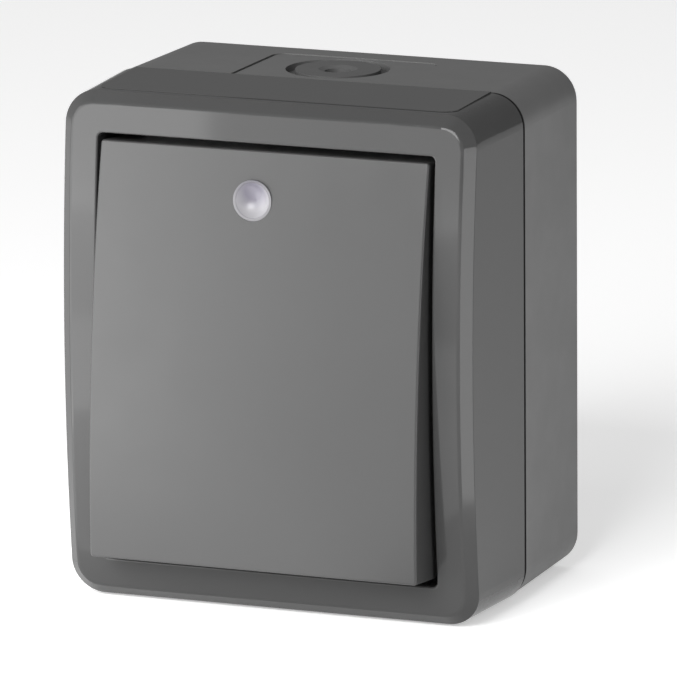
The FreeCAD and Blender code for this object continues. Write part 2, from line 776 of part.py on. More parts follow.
def make_inlet_plate(label):
    body = new_body(label)
    plug = side_sketch(body, "plug", x="Size.inlet_x")
    points = [
        ("-Fit.inlet_end_deep", "Fit.flange_bottom"),
        ("-Fit.inlet_end_deep", "Fit.inlet_face_end"),
        ("-Size.box_deep", "Fit.inlet_face_rim"),
        ("-Size.box_deep", "Fit.step_half_high"),
        ("-Fit.step_deep", "Fit.step_half_high"),
        ("-Fit.step_deep", "Fit.flange_bottom"),
    ]
    draw(plug, points)
    add(body, "plug", plug, "2 * Fit.inlet_half_wide", both=True)
    end_deep = value("Fit.inlet_end_deep")
    middle = value("Size.inlet_x")
    corner = value("Fit.inlet_half_wide")
    dress(
        body,
        "Fillet",
        "corner_round",
        lambda edge: at_deep(edge, end_deep) and abs(edge.CenterOfMass.x - middle) > corner / 2,
        "Radius",
        "Size.slot_r - Size.slot_gap",
    )
    flange = side_sketch(body, "flange", x="Size.inlet_x")
    draw_box(flange, "-Fit.step_deep", "-Size.flange_end_deep", "Fit.flange_bottom", "Fit.flange_top")
    add(body, "flange", flange, "Size.flange_wide", both=True)
    seat = plan_sketch(body, "seat", "Fit.grommet_seat")
    draw_circle(seat, "Size.inlet_x", "-Fit.inlet_deep", "Fit.grommet_rim_r + Size.grommet_play")
    cut(body, "seat", seat, "Fit.rim_half_high - Fit.grommet_seat", to_front=True)
    hole = plan_sketch(body, "hole", "Fit.rim_half_high")
    draw_circle(hole, "Size.inlet_x", "-Fit.inlet_deep", "Fit.grommet_neck_r + Size.grommet_play")
    cut(body, "hole", hole)
    return body


def make_inlet_grommet(label):
    """A round membrane with a rim outside, a neck through the plate and a lip inside."""
    body = new_body(label)
    profile = sketch_on(body, "profile", "YZ_Plane", ("-Fit.inlet_deep", "0", "Size.inlet_x"))
    points = [
        ("0", "Fit.flange_bottom - Size.grommet_lip_thick"),
        ("Fit.grommet_neck_r", "Fit.flange_bottom - Size.grommet_lip_thick"),
        ("Fit.grommet_lip_r", "Fit.flange_bottom - Size.grommet_play"),
        ("Fit.grommet_neck_r", "Fit.flange_bottom - Size.grommet_play"),
        ("Fit.grommet_neck_r", "Fit.grommet_seat + Size.grommet_play"),
        ("Fit.grommet_rim_r", "Fit.grommet_seat + Size.grommet_play"),
        ("Fit.grommet_rim_r", "Fit.grommet_rim_top"),
        ("Fit.grommet_disc_r", "Fit.grommet_rim_top"),
        ("Fit.grommet_disc_r", "Fit.grommet_top"),
        ("Size.grommet_dish_r", "Fit.grommet_top"),
        ("Size.grommet_dimple_r", "Fit.grommet_top - Size.grommet_dish_drop"),
        ("Size.grommet_dimple_r", "Fit.grommet_top - Size.grommet_dimple_drop"),
        ("0", "Fit.grommet_top - Size.grommet_dimple_drop"),
    ]
    draw(profile, points)
    spin(body, "Revolution", "membrane", profile, axis="V_Axis")
    return body


def make_front_cover():
    body = new_body("front_cover")
    rim = front_sketch(body, "rim", "Fit.cover_back_deep")
    draw_frame(rim, "Size.box_wide / 2", "Size.box_high / 2", "Size.corner_r")
    front = front_sketch(body, "front", "Fit.front_deep")
    front_half_wide = "Size.box_wide / 2 - Size.cover_draft_side"
    draw_frame(front, front_half_wide, "Size.box_high / 2 - Size.cover_draft_end", "Size.corner_r")
    loft(body, "block", rim, front)
    crown = side_sketch(body, "crown")
    far = "-(Fit.front_deep + Size.bevel)"
    points = [
        ("-Fit.front_end_deep", "-Size.box_high / 2"),
        ("-Fit.front_end_deep", "Size.box_high / 2"),
        (far, "Size.box_high / 2"),
        (far, "-Size.box_high / 2"),
    ]
    draw(crown, points, {0: ("Size.front_r", -1)})
    cut(body, "crown", crown, both=True)

    side_deep = value("Fit.front_end_deep - Size.bevel / 2")

    def on_front(edge):
        return all(-point.y > side_deep for point in edge.discretize(5))

    dress(body, "Chamfer", "bevel", on_front, "Size", "Size.bevel")

    crown_r = value("Size.front_r")
    crown_axis = crown_r - value("Fit.front_deep")
    bevel = value("Size.bevel")

    def below_crown(point):
        return crown_r - math.hypot(point.y - crown_axis, point.z)

    def falls(edge):
        return [below_crown(point) for point in edge.discretize(5)]

    def on_crown(edge):
        return max(falls(edge)) < bevel / 10

    def on_side(edge):
        return min(falls(edge)) > bevel / 2 and max(falls(edge)) < 2 * bevel

    dress(body, "Fillet", "bevel_side_round", on_side, "Radius", "Size.bevel_side_round")
    dress(body, "Fillet", "bevel_round", on_crown, "Radius", "Size.bevel_round")

    inside = front_sketch(body, "inside", "Fit.cover_back_deep")
    draw_frame(inside, "Fit.inner_half_wide", "Fit.inner_half_high", "Size.inner_r")
    cut(body, "inside", inside, "Fit.floor_back_deep - Fit.cover_back_deep", to_front=True)
    channel = front_sketch(body, "channel", "Fit.floor_back_deep")
    draw_frame(channel, "Fit.inner_half_wide", "Fit.inner_half_high", "Size.inner_r")
    draw_frame(channel, "Fit.channel_half_wide", "Fit.channel_half_high", "Fit.channel_r")
    cut(body, "channel", channel, "Fit.channel_deep - Fit.floor_back_deep", to_front=True)

    recess = front_sketch(body, "recess", "Fit.front_deep")
    draw_frame(recess, "Fit.recess_wide / 2", "Fit.recess_high / 2", "Size.recess_r")
    cut(body, "recess", recess, "Fit.front_deep - Fit.floor_deep")

    def on_recess(edge):
        points = edge.discretize(5)
        wide = value("Fit.recess_wide / 2")
        high = value("Fit.recess_high / 2")
        near = value("Size.edge_round") / 10
        front = all(-point.y > side_deep - value("Size.bevel") for point in points)
        within = all(abs(point.x) < wide + near and abs(point.z) < high + near for point in points)
        across = all(abs(point.y - points[0].y) < value("Size.bevel") for point in points)
        return front and within and across

    dress(body, "Fillet", "recess_round", on_recess, "Radius", "Size.edge_round")

    window = front_sketch(body, "window", "Fit.floor_deep")
    draw_window(window, "0")
    cut(body, "window", window, "Size.floor_thick")
    collar = front_sketch(body, "collar", "Fit.collar_end_deep")
    draw_collar(collar)
    add(body, "collar", collar, "Fit.floor_back_deep - Fit.collar_end_deep")

    bosses = front_sketch(body, "bosses", "Fit.cover_post_deep + Size.boss_play")
    bores = front_sketch(body, "bores", "Fit.floor_deep")
    shafts = front_sketch(body, "shafts", "Fit.floor_deep")
    for side, other in (("-", ""), ("", "-")):
        place = (f"{side}Fit.cover_screw_x", f"{other}Fit.cover_screw_z")
        draw_circle(bosses, *place, "Size.cover_post_r")
        draw_circle(bores, *place, "Fit.counterbore_r")
        draw_circle(shafts, *place, "Fit.screw_hole_r")
    add(body, "bosses", bosses, "Fit.floor_back_deep - Fit.cover_post_deep - Size.boss_play")
    cut(body, "bores", bores, "Fit.floor_deep - Fit.head_seat_deep")
    cut(body, "shafts", shafts)

    spigot = front_sketch(body, "spigot", "Fit.seal_front_deep")
    draw_frame(
        spigot,
        "Fit.step_half_wide - Size.spigot_play",
        "Fit.step_half_high - Size.spigot_play",
        "Fit.step_r - Size.spigot_play",
    )
    draw_frame(spigot, "Fit.inner_half_wide", "Fit.inner_half_high", "Size.inner_r")
    add(body, "spigot", spigot, "Fit.cover_back_deep - Fit.seal_front_deep")

    pad = side_sketch(body, "pad")
    points = [
        ("-Fit.cover_back_deep", "Size.box_high / 2 - Size.box_wall / 2"),
        ("-Fit.cover_back_deep", "Size.box_high / 2 + Size.pad_rise"),
        ("-(Fit.cover_back_deep + Size.pad_long)", "Fit.pad_front_top"),
        ("-(Fit.cover_back_deep + Size.pad_long)", "Size.box_high / 2 - Size.box_wall / 2"),
    ]
    draw(pad, points)
    pad_top = add(body, "pad", pad, "Fit.pad_wide", both=True)
    mirror(body, "pad_below", [pad_top], "XY_Plane")
    pad_side = value("Fit.pad_wide / 2")
    pad_front = value("Fit.cover_back_deep + Size.pad_long")

    def on_pad_corner(edge):
        near = value("Size.pad_rise") / 10
        beside = all(abs(abs(point.x) - pad_side) < near for point in edge.discretize(5))
        return beside and at_deep(edge, pad_front)

    dress(body, "Fillet", "pad_round", on_pad_corner, "Radius", "Size.pad_r")
    return body


def window_side(side, margin):
    """The upper points of one side of the window, grown by a margin: its corner, then the lamp's niche."""
    wall = f"{side}1 * (Size.window_wide / 2 + {margin})"
    niche = f"Size.lens_x + {side}1 * (Fit.niche_half + {margin})"
    return [
        (wall, f"Fit.window_top + {margin}"),
        (niche, f"Fit.window_top + {margin}"),
        (niche, f"Fit.niche_top + {margin}"),
    ]


def draw_window(sketch, margin):
    """The window in the recess floor, grown by a margin, with a niche above it for the lamp."""
    half_wide = f"(Size.window_wide / 2 + {margin})"
    bottom = f"-(Fit.window_bottom + {margin})"
    corners = [(f"-{half_wide}", bottom), (half_wide, bottom)]
    draw(sketch, corners + window_side("", margin) + window_side("-", margin)[::-1])


def draw_collar(sketch):
    """The outline of the collar about the window."""
    draw_window(sketch, "Size.collar_wall")
    draw_window(sketch, "0")


def make_mechanism_seal():
    body = new_body("mechanism_seal")
    ring = front_sketch(body, "ring", "Fit.plate_front_deep")
    draw_collar(ring)
    add(body, "ring", ring, "Size.mechanism_seal_thick")
    return body


def make_cover_screws():
    body = new_body("cover_screws")
    screw = revolve_screw(
        body,
        "-Fit.cover_screw_x",
        "Fit.cover_screw_z",
        "Fit.seal_face_deep",
        "Size.screw_r",
        "Size.cover_screw_long",
        "Size.screw_head_r",
        "Size.screw_head_high",
    )
    half_turn(body, "pair", [screw])
    return body


def make_cover_screw_seals():
    body = new_body("cover_screw_seals")
    ring = front_sketch(body, "ring", "Fit.head_seat_deep")
    draw_circle(ring, "-Fit.cover_screw_x", "Fit.cover_screw_z", "Size.screw_seal_r")
    draw_circle(ring, "-Fit.cover_screw_x", "Fit.cover_screw_z", "Fit.screw_hole_r")
    washer = add(body, "ring", ring, "Size.screw_seal_thick")
    half_turn(body, "pair", [washer])
    return body


def make_mounting_plate():
    body = new_body("mounting_plate")
    outline = front_sketch(body, "outline", "Fit.plate_back_deep")
    margin = "Size.collar_wall + Size.plate_margin"
    bottom = f"-(Fit.window_bottom + {margin})"
    right = [
        (f"Size.window_wide / 2 + {margin}", bottom),
        (f"Size.window_wide / 2 + {margin}", "-Size.plate_ear_high / 2"),
        ("Fit.plate_ear_out", "-Size.plate_ear_high / 2"),
        ("Fit.plate_ear_out", "Size.plate_ear_high / 2"),
        (f"Size.window_wide / 2 + {margin}", "Size.plate_ear_high / 2"),
    ]
    left = [(f"-({across})", up) for across, up in reversed(right)]
    draw(outline, right + window_side("", margin) + window_side("-", margin)[::-1] + left)
    draw_frame(outline, "Size.plate_window_wide / 2", "Fit.plate_window_high / 2", "Size.base_round")
    draw_box(
        outline,
        "Size.lens_x - Size.plate_lamp_slot_wide / 2",
        "Size.lens_x + Size.plate_lamp_slot_wide / 2",
        "Fit.lens_z - Size.plate_lamp_slot_high / 2",
        "Fit.lens_z + Size.plate_lamp_slot_high / 2",
    )
    for side in ("-", ""):
        draw_circle(outline, f"{side}Fit.plate_screw_x", "0", "Fit.screw_hole_r")
        for other in ("-", ""):
            place = (f"{side}Fit.bearing_screw_x", f"{other}Fit.bearing_screw_z")
            draw_circle(outline, *place, "Fit.bearing_hole_r")
    add(body, "sheet", outline, "Size.plate_thick")
    return body


def make_mounting_screws():
    body = new_body("mounting_screws")
    screw = revolve_screw(
        body,
        "-Fit.plate_screw_x",
        "0",
        "Fit.plate_front_deep",
        "Size.screw_r",
        "Size.plate_screw_long",
        "Size.screw_head_r",
        "Size.screw_head_high",
    )
    half_turn(body, "pair", [screw])
    return body


def make_mechanism_base():
    body = new_body("mechanism_base")
    outline = front_sketch(body, "outline", "Fit.base_back_deep")
    sides = ("-Size.base_wide / 2", "Size.base_wide / 2")
    draw_box(outline, *sides, "-Size.base_bottom", "Fit.base_top", "Size.base_round")
    add(body, "block", outline, "Fit.plate_back_deep - Fit.base_back_deep")
    # Room for the caps over the wall screws, which a wider or higher box takes clear of the block
    relief = front_sketch(body, "cap_relief", "Fit.base_back_deep")
    for side in ("-", ""):
        place = (f"{side}Fit.cover_screw_x", f"{side}Fit.cover_screw_z")
        draw_circle(relief, *place, "Fit.cap_out_r + Size.base_cap_gap")
    past_caps = "Fit.cap_top_deep + Size.base_cap_gap - Fit.base_back_deep"
    cut(body, "cap_relief", relief, past_caps, to_front=True, may_miss=True)
    chamber = front_sketch(body, "chamber", "Fit.plate_back_deep")
    sides = ("-Size.chamber_wide / 2", "Size.chamber_wide / 2")
    draw_box(chamber, *sides, "-Size.chamber_bottom", "Size.chamber_top", "Size.base_round")
    cut(body, "chamber", chamber, "Fit.plate_back_deep - Fit.chamber_floor_deep")
    deck = front_sketch(body, "deck", "Fit.plate_back_deep")
    sides = ("-Size.deck_wide / 2", "Size.deck_wide / 2")
    draw_box(deck, *sides, "-(Size.base_bottom + Size.base_round)", "-Size.deck_top")
    cut(body, "deck", deck, "Fit.plate_back_deep - Fit.chamber_floor_deep")
    slot = front_sketch(body, "strip_slot", "Fit.chamber_floor_deep + 2 * Size.strip_thick")
    sides = ("-Size.strip_slot_wide / 2", "Size.strip_slot_wide / 2")
    draw_box(slot, *sides, "-(Size.deck_top + Size.base_round)", "-(Size.chamber_bottom - Size.base_round)")
    cut(body, "strip_slot", slot, "2 * Size.strip_thick")
    barriers = front_sketch(body, "barriers", "Fit.base_back_deep + Size.base_round")
    for side in ("-", ""):
        middle = f"{side}Size.terminal_pitch / 2"
        draw_box(
            barriers,
            f"{middle} - Size.barrier_thick / 2",
            f"{middle} + Size.barrier_thick / 2",
            "-Size.base_bottom",
            "-(Size.terminal_z - Size.clamp_high / 2)",
        )
    add(body, "barriers", barriers, "Fit.barrier_deep - Fit.base_back_deep - Size.base_round")
    hole = front_sketch(body, "screw_hole", "Fit.plate_back_deep")
    draw_circle(hole, "-Fit.bearing_screw_x", "-Fit.bearing_screw_z", "Fit.bearing_hole_r")
    drilled = cut(body, "screw_hole", hole, "Size.bearing_screw_long")
    grid(
        body,
        "screw_holes",
        [drilled],
        "2 * Fit.bearing_screw_x",
        "2 * Fit.bearing_screw_z",
        grows=False,
    )
    return body


def make_bearing_frame():
    body = new_body("bearing_frame")
    flange = front_sketch(body, "flange", "Fit.plate_front_deep")
    draw_frame(flange, "Fit.bearing_wide / 2", "Fit.bearing_high / 2", "Size.base_round")
    draw_frame(flange, "Size.plate_window_wide / 2", "Fit.plate_window_high / 2", "Size.base_round")
    for side in ("-", ""):
        for other in ("-", ""):
            place = (f"{side}Fit.bearing_screw_x", f"{other}Fit.bearing_screw_z")
            draw_circle(flange, *place, "Fit.bearing_hole_r")
    add(body, "flange", flange, "Size.bearing_flange")
    ear = side_sketch(body, "ear", x="Fit.ear_in")
    points = [
        ("-Fit.plate_front_deep", "Size.ear_foot / 2"),
        ("-Fit.pivot_deep", "Size.ear_top_r"),
        ("-(Fit.pivot_deep + Size.ear_top_r)", "0"),
        ("-Fit.pivot_deep", "-Size.ear_top_r"),
        ("-Fit.plate_front_deep", "-Size.ear_foot / 2"),
    ]
    draw(ear, points, {1: ("Size.ear_top_r", 1), 2: ("Size.ear_top_r", 1)})
    ear_pad = add(body, "ear", ear, "Size.ear_thick")
    mirror(body, "ears", [ear_pad], "YZ_Plane")
    bearing = side_sketch(body, "bearing")
    draw_circle(bearing, "-Fit.pivot_deep", "0", "Size.trunnion_r + Size.trunnion_play")
    cut(body, "bearing", bearing, both=True)
    return body


def make_bearing_screws():
    body = new_body("bearing_screws")
    screw = revolve_screw(
        body,
        "-Fit.bearing_screw_x",
        "-Fit.bearing_screw_z",
        "Fit.bearing_front_deep",
        "Size.bearing_screw_r",
        "Size.bearing_screw_long",
        "Size.bearing_screw_head_r",
        "Size.bearing_screw_head_high",
    )
    grid(body, "four", [screw], "2 * Fit.bearing_screw_x", "2 * Fit.bearing_screw_z")
    return body


def make_rocker():
    body = new_body("rocker")
    outline = front_sketch(body, "outline", "Fit.rocker_back")
    sides = ("-Fit.rocker_wide / 2", "Fit.rocker_wide / 2")
    draw_box(outline, *sides, "-Fit.rocker_end", "Fit.rocker_high / 2 - Size.rocker_drop", "Size.rocker_r")
    add(body, "block", outline, "Fit.rocker_top - Fit.rocker_back")
    crown = side_sketch(body, "crown")
    far = "-(Fit.rocker_top + Size.rocker_wall)"
    points = [
        ("-Size.rocker_rise", "-Fit.rocker_end"),
        ("-Size.rocker_rise", "Fit.rocker_end"),
        (far, "Fit.rocker_end"),
        (far, "-Fit.rocker_end"),
    ]
    draw(crown, points, {0: ("Size.rocker_face_r", -1)})
    cut(body, "crown", crown, both=True)

    face_deep = value("Size.rocker_rise") - value("Size.rocker_round")

    def on_face(edge):
        return all(-point.y > face_deep for point in edge.discretize(5))

    dress(body, "Fillet", "face_round", on_face, "Radius", "Size.rocker_round")

    inside = side_sketch(body, "inside")
    points = [
        ("-Fit.inner_edge", "-Fit.rocker_in_half_high"),
        ("-Fit.inner_edge", "Fit.rocker_in_half_high"),
        ("-(Fit.rocker_back - Size.rocker_wall)", "Fit.rocker_in_half_high"),
        ("-(Fit.rocker_back - Size.rocker_wall)", "-Fit.rocker_in_half_high"),
    ]
    draw(inside, points, {0: ("Fit.inner_face_r", -1)})
    cut(body, "inside", inside, "2 * Fit.rocker_in_half_wide", both=True)

    clip = side_sketch(body, "clip")
    roof = "-Fit.inner_top"
    hook_end = "-(Fit.clip_under - Size.clip_hook)"
    points = [
        (roof, "Fit.clip_in"),
        (roof, "Fit.clip_in + Size.clip_thick"),
        (hook_end, "Fit.clip_in + Size.clip_thick"),
        (hook_end, "Fit.clip_in"),
        ("-Fit.clip_under", "Fit.clip_in - Size.clip_hook"),
        ("-Fit.clip_under", "Fit.clip_in"),
    ]
    draw(clip, points)
    clip_pad = add(body, "clip", clip, "Size.clip_wide", both=True)
    mirror(body, "clips", [clip_pad], "XY_Plane")

    rib = side_sketch(body, "rib")
    rib_z = "Size.cradle_plate_high / 4"
    sides = ("-(Fit.inner_top + Size.rocker_wall / 2)", "-Fit.cradle_plate_front")
    draw_box(rib, *sides, rib_z, f"{rib_z} + Size.clip_thick")
    rib_pad = add(body, "rib", rib, "Fit.cradle_plate_wide", both=True)
    mirror(body, "ribs", [rib_pad], "XY_Plane")

    hole = front_sketch(body, "lens_hole", "Fit.rocker_top")
    draw_circle(hole, "Size.lens_x", "Fit.lens_z", "Size.lens_r + Size.lens_play")
    cut(body, "lens_hole", hole, "Fit.rocker_top - Fit.rocker_back")
    hang_on_pivot(body)
    return body


def make_indicator_lens():
    """A dished lens with a rim, a flange behind the rocker's shell and a stem towards the lamp."""
    body = new_body("indicator_lens")
    profile = side_sketch(body, "profile", "Size.lens_x", "Fit.lens_front", "Fit.lens_z")
    seat = "Fit.lens_front - Fit.lens_seat"
    back = f"{seat} + Size.lens_flange_thick"
    dish = "Size.lens_r - Size.lens_rim"
    dish_drop = f"Size.lens_dish_r - sqrt(Size.lens_dish_r ^ 2 - ({dish}) ^ 2)"
    points = [
        (dish_drop, "0"),
        (f"{back} + Size.lens_stem_long", "0"),
        (f"{back} + Size.lens_stem_long", "Size.lens_stem_r"),
        (back, "Size.lens_stem_r"),
        (back, "Size.lens_flange_r"),
        (seat, "Size.lens_flange_r"),
        (seat, "Size.lens_r"),
        ("0", "Size.lens_r"),
        ("0", dish),
    ]
    draw(profile, points, {8: ("Size.lens_dish_r", -1)})
    spin(body, "Revolution", "lens", profile)
    hang_on_pivot(body)
    return body


def make_cradle():
    body = new_body("cradle")
    hub = side_sketch(body, "hub")
    draw_circle(hub, "0", "0", "Size.hub_r")
    add(body, "hub", hub, "2 * Fit.hub_half", both=True)
    trunnions = side_sketch(body, "trunnions")
    draw_circle(trunnions, "0", "0", "Size.trunnion_r")
    add(body, "trunnions", trunnions, "2 * Fit.trunnion_half", both=True)
    web = side_sketch(body, "web")
    points = [
        ("0", "-Size.hub_r"),
        ("0", "Size.hub_r"),
        ("-Size.cradle_plate_rise", "Size.cradle_plate_high / 4"),
        ("-Fit.cradle_plate_front", "Size.cradle_plate_high / 4"),
        ("-Fit.cradle_plate_front", "-Size.cradle_plate_high / 4"),
        ("-Size.cradle_plate_rise", "-Size.cradle_plate_high / 4"),
    ]
    draw(web, points)
    add(body, "web", web, "Size.cradle_web_wide", both=True)
    plate = front_sketch(body, "plate", "Size.cradle_plate_rise")
    draw_frame(plate, "Fit.cradle_plate_wide / 2", "Size.cradle_plate_high / 2", "Size.base_round")
    add(body, "plate", plate, "Size.cradle_plate_thick")
    stem = front_sketch(body, "stem", "0")
    draw_circle(stem, "0", "0", "Size.stem_r")
    add(body, "stem", stem, "Size.stem_long", to_wall=True)
    bore = front_sketch(body, "bore", "-Size.stem_roof")
    draw_circle(bore, "0", "0", "Size.stem_bore_r")
    cut(body, "bore", bore, "Size.stem_long")
    hang_on_pivot(body)
    return body


def make_plunger():
    """A round pin with a domed tip."""
    body = new_body("plunger")
    profile = side_sketch(body, "profile")
    points = [
        ("Fit.plunger_start", "0"),
        ("Fit.plunger_end", "0"),
        ("Fit.plunger_end - Size.plunger_tip_r", "Size.plunger_tip_r"),
        ("Fit.plunger_end - Size.plunger_r", "Size.plunger_r"),
        ("Fit.plunger_start", "Size.plunger_r"),
    ]
    draw(profile, points, {1: ("Size.plunger_tip_r", 1)})
    spin(body, "Revolution", "pin", profile)
    hang_on_pivot(body)
    return body


def make_plunger_spring():
    body = new_body("plunger_spring")
    wire = side_sketch(body, "wire")
    sides = ("Size.stem_roof", "Size.stem_roof + Size.wire_thick")
    draw_box(wire, *sides, "Size.coil_r - Size.wire_thick / 2", "Size.coil_r + Size.wire_thick / 2")
    coil = body.newObject("PartDesign::AdditiveHelix", "plunger_spring_coil")
    coil.Profile = wire
    coil.ReferenceAxis = (wire, ["H_Axis"])
    coil.Mode = "height-turns-angle"
    coil.setExpression("Height", "Fit.spring_long - Size.wire_thick")
    coil.setExpression("Turns", "Size.coil_turns")
    settle(body, coil, True, 0)
    hang_on_pivot(body)
    return body


def make_contact_arm():
    """A flat see-saw with two forked cheeks that sit over the fulcrum."""
    body = new_body("contact_arm")
    arm = front_sketch(body, "arm", "Size.arm_offset")
    draw_frame(arm, "Size.arm_wide / 2", "Size.arm_half", "Size.base_round")
    add(body, "arm", arm, "Size.arm_thick")
    cheek = side_sketch(body, "cheek", x="Size.arm_wide / 2 - Size.cheek_thick")
    fork_r = "(Size.fulcrum_r + Size.trunnion_play)"
    foot = "Size.fulcrum_r"
    points = [
        ("-Fit.arm_front", "-Size.cheek_half"),
        (foot, "-Size.cheek_half"),
        (foot, f"-{fork_r}"),
        ("0", f"-{fork_r}"),
        (f"-{fork_r}", "0"),
        ("0", fork_r),
        (foot, fork_r),
        (foot, "Size.cheek_half"),
        ("-Fit.arm_front", "Size.cheek_half"),
    ]
    draw(cheek, points, {3: (fork_r, -1), 4: (fork_r, -1)})
    cheek_pad = add(body, "cheek", cheek, "Size.cheek_thick")
    mirror(body, "cheeks", [cheek_pad], "YZ_Plane")
    hang_on_fulcrum(body)
    return body


def make_moving_tips():
    body = new_body("moving_tips")
    tip = front_sketch(body, "tip", "Size.arm_offset")
    draw_circle(tip, "0", "Size.tip_z", "Size.tip_r")
    tip_pad = add(body, "tip", tip, "Size.moving_tip_high", to_wall=True)
    half_turn(body, "pair", [tip_pad])
    hang_on_fulcrum(body)
    return body


def make_fixed_tips():
    body = new_body("fixed_tips")
    tip = front_sketch(body, "tip", "Fit.strip_front_deep")
    draw_circle(tip, "0", "Size.tip_z", "Size.tip_r")
    tip_pad = add(body, "tip", tip, "Size.fixed_tip_high")
    half_turn(body, "pair", [tip_pad])
    return body


def cranked_strip(side, head_bottom, head_top):
    """A strip's outline: from a terminal at one side, inwards, along the chamber and to its middle."""
    foot_in = "(Size.terminal_pitch - Size.strip_wide / 2)"
    foot_out = "(Size.terminal_pitch + Size.strip_wide / 2)"
    foot_end = "-(Size.terminal_z + Size.clamp_high / 2)"
    bend = "-(Size.deck_top + Size.strip_play)"
    bend_low = "-(Size.terminal_z - Size.clamp_high / 2)"
    points = [
        (foot_in, foot_end),
        (foot_out, foot_end),
        (foot_out, bend),
        ("Size.strip_leg_out", bend),
        ("Size.strip_leg_out", head_top),
        ("-Size.strip_wide / 2", head_top),
        ("-Size.strip_wide / 2", head_bottom),
        ("Size.strip_leg_in", head_bottom),
        ("Size.strip_leg_in", bend_low),
        (foot_in, bend_low),
    ]
    if side > 0:
        return points
    return [(f"-({across})", up) for across, up in reversed(points)]


def make_common_contact():
    """The strip of the common terminal, with a web that carries the round fulcrum."""
    body = new_body("common_contact")
    strip = front_sketch(body, "strip", "Fit.chamber_floor_deep")
    draw(strip, cranked_strip(1, "-Size.strip_wide / 2", "Size.strip_wide / 2"))
    add(body, "strip", strip, "Size.strip_thick")
    web = front_sketch(body, "web", "Fit.chamber_floor_deep")
    draw_frame(web, "Size.web_wide / 2", "Size.web_thick / 2")
    add(body, "web", web, "Fit.contact_axis_deep - Fit.chamber_floor_deep")
    fulcrum = side_sketch(body, "fulcrum")
    draw_circle(fulcrum, "-Fit.contact_axis_deep", "0", "Size.fulcrum_r")
    add(body, "fulcrum", fulcrum, "Size.arm_wide", both=True)
    return body


def make_upper_contact():
    body = new_body("upper_contact")
    strip = front_sketch(body, "strip", "Fit.chamber_floor_deep")
    head = ("Size.tip_z - Size.strip_wide / 2", "Size.tip_z + Size.strip_wide / 2")
    draw(strip, cranked_strip(-1, *head))
    add(body, "strip", strip, "Size.strip_thick")
    return body


def make_lower_contact():
    body = new_body("lower_contact")
    strip = front_sketch(body, "strip", "Fit.chamber_floor_deep")
    foot = "-(Size.terminal_z + Size.clamp_high / 2)"
    head = "-(Size.tip_z - Size.strip_wide / 2)"
    draw_box(strip, "-Size.strip_wide / 2", "Size.strip_wide / 2", foot, head)
    add(body, "strip", strip, "Size.strip_thick")
    return body


def make_terminal_clamps():
    """Clamp boxes with a wire hole from below and a screw hole from the front."""
    body = new_body("terminal_clamps")
    block = front_sketch(body, "block", "Fit.strip_front_deep")
    sides = ("-(Size.terminal_pitch + Size.clamp_wide / 2)", "-(Size.terminal_pitch - Size.clamp_wide / 2)")
    ends = ("-(Size.terminal_z + Size.clamp_high / 2)", "-(Size.terminal_z - Size.clamp_high / 2)")
    draw_box(block, *sides, *ends)
    block_pad = add(body, "block", block, "Size.clamp_rise")
    wire_hole = plan_sketch(body, "wire_hole", "-Size.terminal_z")
    wire_y = "-(Fit.strip_front_deep + Size.wire_hole_rise)"
    draw_circle(wire_hole, "-Size.terminal_pitch", wire_y, "Size.wire_hole_r")
    wire_cut = cut(body, "wire_hole", wire_hole, "2 * Size.clamp_high", both=True)
    screw_hole = front_sketch(body, "screw_hole", "Fit.clamp_front_deep")
    place = ("-Size.terminal_pitch", "-Size.terminal_z")
    draw_circle(screw_hole, *place, "Size.clamp_screw_r + Size.screw_play")
    screw_cut = cut(body, "screw_hole", screw_hole, "Size.clamp_rise - Size.wire_hole_rise")
    row(body, "three", [block_pad, wire_cut, screw_cut], "2 * Size.terminal_pitch", 3)
    return body


def make_terminal_screws():
    body = new_body("terminal_screws")
    screw = revolve_screw(
        body,
        "-Size.terminal_pitch",
        "-Size.terminal_z",
        "Fit.clamp_front_deep",
        "Size.clamp_screw_r",
        "Size.clamp_screw_long",
        "Size.clamp_screw_head_r",
        "Size.clamp_screw_head_high",
    )
    row(body, "three", [screw], "2 * Size.terminal_pitch", 3)
    return body


def make_lamp_holder():
    body = new_body("lamp_holder")
    block = front_sketch(body, "block", "Fit.plate_front_deep")
    ends = ("Fit.lens_z - Size.holder_high / 2", "Fit.lens_z + Size.holder_high / 2")
    sides = ("Size.lens_x - Size.holder_wide / 2", "Size.lens_x + Size.holder_wide / 2")
    draw_box(block, *sides, *ends, "Size.base_round")
    add(body, "block", block, "Size.holder_rise")
    seat = front_sketch(body, "seat", "Fit.plate_front_deep + Size.holder_rise")
    draw_circle(seat, "Size.lens_x", "Fit.lens_z", "Size.lamp_r + Size.lamp_play")
    cut(body, "seat", seat, "Size.holder_rise - Size.lamp_seat")
    return body


def make_glow_lamp():
    """A glass bulb with a round end."""
    body = new_body("glow_lamp")
    seat_deep = "Fit.plate_front_deep + Size.lamp_seat"
    profile = side_sketch(body, "profile", "Size.lens_x", seat_deep, "Fit.lens_z")
    points = [
        ("0", "0"),
        ("0", "Size.lamp_r"),
        ("-(Size.lamp_long - Size.lamp_r)", "Size.lamp_r"),
        ("-Size.lamp_long", "0"),
    ]
    draw(profile, points, {2: ("Size.lamp_r", 1)})
    spin(body, "Revolution", "bulb", profile)
    return body


